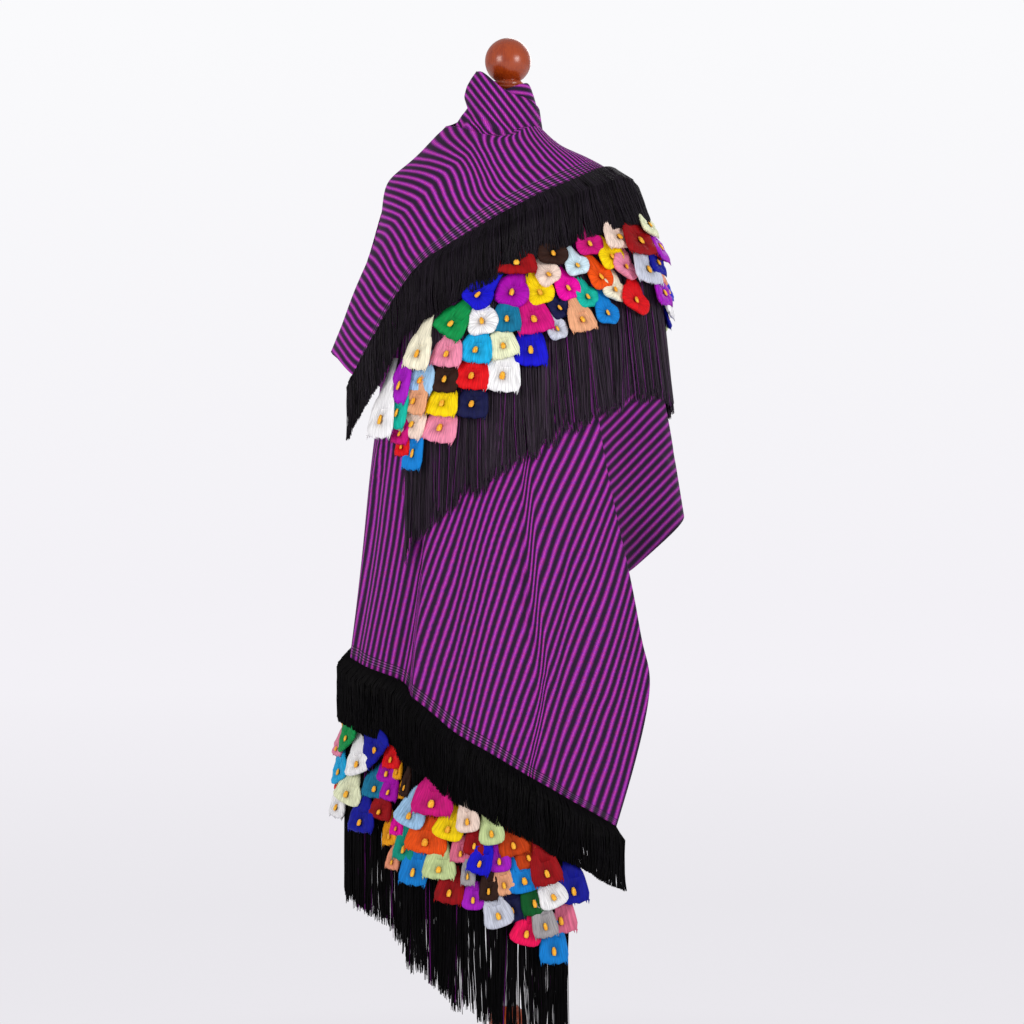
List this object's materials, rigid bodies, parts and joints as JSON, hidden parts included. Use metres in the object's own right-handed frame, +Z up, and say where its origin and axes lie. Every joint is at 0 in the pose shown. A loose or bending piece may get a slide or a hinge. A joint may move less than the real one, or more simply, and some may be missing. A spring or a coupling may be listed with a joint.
{
  "type": "rebozo shawl on a dress form",
  "caption": "Long striped woven rebozo wound round a limbless dress form on a turned wooden stand, each end with thread fringe and calla-shaped thread flowers.",
  "frame": {"origin": "middle of the stand base's flat underside", "axes": "+Z up along the pole, -Y toward the front, where the lower end hangs, +X toward the wearer's left"},
  "size_m": [0.5121, 0.4155, 1.66],
  "materials": {
    "striped_cotton": "matte plain weave, purple and black warp stripes",
    "black_thread": "soft black thread fringe",
    "flower_thread": "many-coloured satin thread",
    "mahogany": "glossy reddish varnish",
    "form_cover": "matte cotton cover",
    "steel": "satin"
  },
  "bodies": {
    "root": {"back_sweep": "striped_cotton", "collar_wrap": "striped_cotton", "dress_form": "form_cover", "end_flowers_inner": "flower_thread", "end_flowers_outer": "flower_thread", "end_long_fringe": "black_thread", "end_short_fringe": "black_thread", "finial": "mahogany", "front_fall": "striped_cotton", "hem_flowers_inner": "flower_thread", "hem_flowers_outer": "flower_thread", "hem_long_fringe": "black_thread", "hem_short_fringe": "black_thread", "neck_cap": "mahogany", "shoulder_fall": "striped_cotton", "stand_base": "mahogany", "stand_column": "mahogany", "stand_pole": "steel"}
  },
  "joints": []
}
